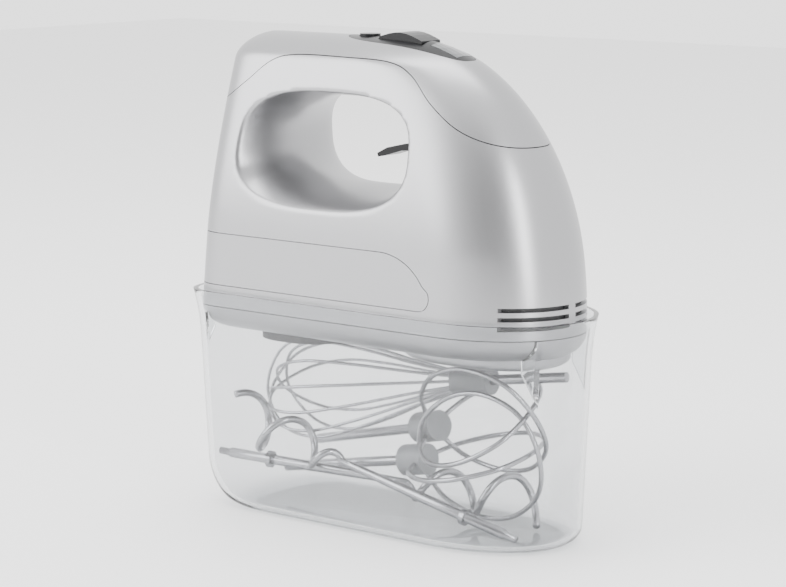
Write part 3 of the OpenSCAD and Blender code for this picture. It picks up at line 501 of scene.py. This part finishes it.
# Top cover over the handle and the nose
saddle = combine(copy_of(form, "saddle"), copy_of(hollow, "hollow_tool"))
combine(saddle, above_top_seam(SEAM / 2), "INTERSECT")
combine(saddle, combine(panel_prism(SEAM), body_form("core", 2, 40, 8)))
stand_in(crease_shading(saddle), "top_cover")

# Side band round the rear
band = combine(copy_of(form, "side_band"), body_form("core", 1.2, 40, 8))
combine(band, band_prism(0), "INTERSECT")
stand_in(crease_shading(band), "rear_side_band")


def pad_form(name):
    """The boss under the nose, which carries the spindle mouths."""
    cx = sum(corner.x for corner in box_mm("spindle_left")) / 2
    half_l = 41
    rings = []
    for a in range(90, 0, -10):
        r = math.radians(a)
        pull = 5 * (1 - math.cos(r))
        z = BOSS_Z + 4 - 4 * math.sin(r)
        rings.append([(x, y, z) for x, y in super_outline(cx, 0, half_l - pull, 29 - pull, 2.4)])
    for z in (BOSS_Z + 4, UNDER_Z + WALL - 0.5):
        rings.append([(x, y, z) for x, y in super_outline(cx, 0, half_l, 29, 2.4)])
    return skin(name, rings)


# Bottom cover with its boss
cover = combine(copy_of(form, "under_cover"), below(SEAM_Z - SEAM), "INTERSECT")
combine(cover, pad_form("pad"), "UNION")
combine(cover, copy_of(hollow, "hollow_tool"))
for spindle in ("spindle_left", "spindle_right"):
    low, high = box_mm(spindle)
    mouth = super_outline((low.x + high.x) / 2, (low.y + high.y) / 2, 5.6, 5.6, 2, 40)
    combine(cover, prism("mouth", mouth, "z", BOSS_Z - 1, BOSS_Z + 12))
stand_in(crease_shading(cover), "bottom_cover")

# Control strip on the crown
strip = combine(panel_prism(0), body_form("skin_tool", 0.05, 64, 14), "INTERSECT")
combine(strip, body_form("core", 1.6, 40, 8))
for part, slack in (("speed_rocker", 0.5), ("display_window", 0.3)):
    low, high = box_mm(part)
    combine(strip, block("well", (low.x - slack, low.y - slack, low.z - 10),
                         (high.x + slack, high.y + slack, high.z + 10)))
low, high = box_mm("power_button")
round_well = super_outline((low.x + high.x) / 2, 0, 5.3, 5.3, 2, 48)
combine(strip, prism("well", round_well, "z", TOP_Z - 30, TOP_Z + 20))
strip.name = "control_strip"
stand_in(crease_shading(strip), "control_panel")
bpy.data.objects.remove(form)
bpy.data.objects.remove(hollow)

for node, width in (("power_button", 0.5), ("speed_rocker", 0.8), ("eject_lever", 0.9),
                    ("rear_foot", 1.2), ("ejector_yoke", 0.4), ("gearbox_frame", 0.3),
                    ("motor_bracket", 0.3), ("cord_gland", 0.4), ("cord_clamp", 0.4),
                    ("motor_stator", 0.2), ("brush_holders", 0.2), ("power_board", 0.1)):
    rounded(nodes[node], width)


# ---- storage case -----------------------------------------------------------------------------

def edge_in(h, r):
    return r - math.sqrt(r * r - (r - min(r, max(0, h))) ** 2)


def case_ring(z, w):
    low = 1 - z / CASE_H
    flare = 1.8 * (max(0, z / CASE_H - 0.78) / 0.22) ** 2 - 1.8
    h = z - (CASE_FLOOR if w > 0 else 0)
    side = edge_in(h, CASE_EDGE_ROUND - w)
    back = edge_in(h, CASE_REAR_ROUND - w)
    half_w = CASE_HALF_W - w + flare - CASE_DRAFT * 0.5 * low - side
    rear = -CASE_REAR + w - flare + (CASE_DRAFT + 2) * low + back
    nose = CASE_FRONT - w + flare - (CASE_DRAFT + 1) * low - side
    return plan_ring(rear, nose, half_w, 52 - w, 28 - w, z)


def case_heights():
    low = [CASE_EDGE_ROUND * (1 - math.cos(math.radians(a))) for a in range(0, 91, 9)]
    back = [CASE_EDGE_ROUND + (CASE_REAR_ROUND - CASE_EDGE_ROUND) * i / 12 for i in range(1, 13)]
    walls = [CASE_H * (0.24 + 0.54 * i / 10) for i in range(1, 11)]
    flare = [CASE_H * (0.78 + 0.22 * i / 10) for i in range(1, 10)]
    return low + back + walls + flare


heights = case_heights()
tub = skin("tub", [case_ring(z, 0) for z in heights + [CASE_H]])
inner = [case_ring(CASE_FLOOR + z * (CASE_H - CASE_FLOOR) / CASE_H, CASE_WALL) for z in heights]
lip = [(x, y, CASE_H + 1) for x, y, z in case_ring(CASE_H, CASE_WALL)]
combine(tub, skin("tub_inside", inner + [case_ring(CASE_H, CASE_WALL), lip]))
ribs = []
for side in (-1, 1):
    outline = [(34.5, SEAM_Z), (34.5, SEAM_Z - 11), (CASE_HALF_W, SEAM_Z - 26),
               (CASE_HALF_W, SEAM_Z)]
    ribs.append(skin("rib", [[(x, side * y, z) for y, z in outline] for x in (-89, -87)]))
for y in (-20, 20):
    outline = [(87, SEAM_Z), (87, SEAM_Z - 16), (CASE_FRONT - 8, SEAM_Z - 34),
               (CASE_FRONT, SEAM_Z - 34), (CASE_FRONT, SEAM_Z)]
    ribs.append(prism("rib", outline, "y", y - 1, y + 1))
for rib in ribs:
    combine(rib, skin("clip", [case_ring(z, CASE_WALL / 2) for z in heights if z > CASE_FLOOR]
                      + [case_ring(CASE_H, CASE_WALL / 2)]), "INTERSECT")
    combine(rib, body_form("seat", -0.3, 30, 8))
    combine(tub, rib, "UNION")
tub.name = "clear_tub"
rounded(tub, 0.6, 3, 50)
settle(tub)
stand_in(crease_shading(tub, 40), "storage_case")


# ---- accessories ------------------------------------------------------------------------------
# Each one is drawn along +X from its hub, then laid in the case.

WHISK = {"at": (37.2, 9.9, 70.2), "aim": (-99, -9, -14), "roll": 8}
BEATER_A = {"at": (10.1, 1.3, 29.6), "aim": (98, 0, 18), "roll": 11}
BEATER_B = {"at": (11.7, 8.8, 44.7), "aim": (96, -16, 23), "roll": 33}
HOOK_A = {"at": (-13.3, -22.9, 28.6), "aim": (-97, -3, 22), "roll": 13}
HOOK_B = {"at": (6.3, -7.1, 19.9), "aim": (98, 21, -5), "roll": 235}


def laid(at, aim, roll=0):
    """The matrix that lays a piece: its +X along the aim, rolled about it."""
    way = Vector(aim).normalized()
    turn = Matrix.Rotation(math.atan2(way.y, way.x), 4, "Z")
    tilt = Matrix.Rotation(-math.asin(way.z), 4, "Y")
    return Matrix.Translation(at) @ turn @ tilt @ Matrix.Rotation(math.radians(roll), 4, "X")


def tube_rings(path, radii, side, sides=18):
    rings = []
    carried = Vector(side)
    for i, p in enumerate(path):
        ahead = (path[min(i + 1, len(path) - 1)] - path[max(i - 1, 0)]).normalized()
        carried = (carried - carried.dot(ahead) * ahead).normalized()
        up = ahead.cross(carried)
        rings.append([
            p + radii[i] * (carried * math.cos(math.tau * k / sides)
                            + up * math.sin(math.tau * k / sides)) for k in range(sides)])
    return rings


def tubes(name, paths, radii, side=(0, 1, 0), sides=18):
    """One mesh of round bars along several paths."""
    points, faces = [], []
    for path, radius in zip(paths, radii):
        rings = tube_rings(path, radius, side, sides)
        base = len(points)
        points += [p for ring in rings for p in ring]
        for j in range(len(rings) - 1):
            for i in range(sides):
                k = (i + 1) % sides
                faces.append(tuple(base + v for v in (
                    j * sides + i, j * sides + k, (j + 1) * sides + k, (j + 1) * sides + i)))
        faces.append(tuple(base + v for v in range(sides)))
        faces.append(tuple(base + (len(rings) - 1) * sides + v for v in range(sides)))
    return mesh_object(name, points, faces)


def loop_path(half, place):
    """A wire loop through a half outline and back, placed by a matrix."""
    whole = list(half) + [(x, -z) for x, z in reversed(half[:-1])]
    return [place @ Vector((p.x, 0, p.y)) for p in spline([(x, z) for x, z in whole], 12)]


def wires(name, laid_at, shape, start, length, radius, loops, shorter, wire_r, spread):
    paths = []
    for i in range(loops):
        place = laid(**laid_at) @ Matrix.Rotation(math.radians(spread * i), 4, "X")
        half = [(start + a * (length - i * shorter), b * radius) for a, b in shape]
        paths.append(loop_path(half, place))
    return tubes(name, paths, [[wire_r] * len(p) for p in paths])


whisk_shape = [(0.0, 0.16), (0.22, 0.42), (0.5, 0.8), (0.74, 1), (0.92, 0.76), (1, 0)]
stand_in(wires("whisk_balloon", WHISK, whisk_shape, 6, 116, 25, 6, 2.7, 0.75, 30), "whisk_wires")
beater_shape = [(0, 0.14), (0.1, 0.62), (0.36, 0.96), (0.66, 0.98), (0.92, 0.62), (1, 0)]
for letter, place in (("a", BEATER_A), ("b", BEATER_B)):
    cage = wires(f"beater_cage_{letter}", place, beater_shape, 3, 69, 31, 2, 4, 1.2, 90)
    stand_in(cage, f"beater_{letter}_wires")


def hook_path(place):
    points = [(-100, 0, 0), (-93.5, 0, 0), (-93, 0, 0), (-50, 0, 0), (-3, 0, 0)]
    for i in range(161):
        t = i / 160
        grow = 12 * min(1, 0.55 + 0.5 * t) * math.sin(math.radians(90 * min(1, t * 7)))
        a = math.tau * 2.1 * t
        points.append((3 + 67 * t, grow * math.sin(a), grow * math.cos(a)))
    return [place @ Vector(p) for p in points]


for letter, place in (("a", HOOK_A), ("b", HOOK_B)):
    path = hook_path(laid(**place))
    radii = [1.8 if i < 2 else 2.5 if i < 4 else 1.8 for i in range(len(path))]
    stand_in(tubes(f"hook_rod_{letter}", [path], [radii]), f"dough_hook_{letter}")


# ---- stage ------------------------------------------------------------------------------------

floor = mesh_object("floor", [(-3000, -3000, 0), (3000, -3000, 0), (3000, 3000, 0), (-3000, 3000, 0)],
                    [(0, 1, 2, 3)])
floor.data.materials.append(finish("pale_floor", (0.95, 0.95, 0.95), (0.5, 0.6), shade=0.99,
                                   scale=3, bump=0.0))

# A bright studio whose open side, in front of the object, is darker
OPEN_SIDE = (0.62, -0.78, 0.08)
world = bpy.data.worlds.new("studio")
world.use_nodes = True
tree = world.node_tree
ways = tree.nodes.new("ShaderNodeTexCoord")
facing = tree.nodes.new("ShaderNodeVectorMath")
facing.operation = "DOT_PRODUCT"
facing.inputs[1].default_value = OPEN_SIDE
fade = tree.nodes.new("ShaderNodeMapRange")
fade.interpolation_type = "SMOOTHSTEP"
fade.inputs["From Min"].default_value = 0.45
fade.inputs["From Max"].default_value = 0.95
fade.inputs["To Min"].default_value = 2.3
fade.inputs["To Max"].default_value = 0.5
tree.links.new(ways.outputs["Generated"], facing.inputs[0])
tree.links.new(facing.outputs["Value"], fade.inputs["Value"])
tree.links.new(fade.outputs["Result"], tree.nodes["Background"].inputs["Strength"])
tree.nodes["Background"].inputs["Color"].default_value = (1, 1, 1, 1)
bpy.context.scene.world = world


def soft_light(name, at, size, power):
    """A softbox that looks at the object; size is its width and height in metres."""
    data = bpy.data.lights.new(name, "AREA")
    data.shape = "RECTANGLE"
    data.size, data.size_y = size
    data.energy = power
    lamp = bpy.data.objects.new(name, data)
    lamp.location = at
    way = Vector((0, 0, 0.12)) - Vector(at)
    lamp.rotation_euler = way.to_track_quat("-Z", "Y").to_euler()
    bpy.context.scene.collection.objects.link(lamp)


soft_light("key", (-1.0, -1.25, 0.9), (1.4, 1.4), 34)
soft_light("edge", (1.5, -0.55, 0.6), (0.22, 1.4), 20)
soft_light("top", (-0.2, 0.1, 1.7), (1.2, 0.8), 18)

camera = bpy.data.cameras.new("camera")
camera.lens = 119.1
camera.sensor_width = 36
view = bpy.data.objects.new("camera", camera)
view.location = (0.7678, -0.9533, 0.3097)
view.rotation_euler = (Vector((-0.0042, 0, 0.1088)) - view.location).to_track_quat("-Z", "Y").to_euler()
bpy.context.scene.collection.objects.link(view)
bpy.context.scene.camera = view
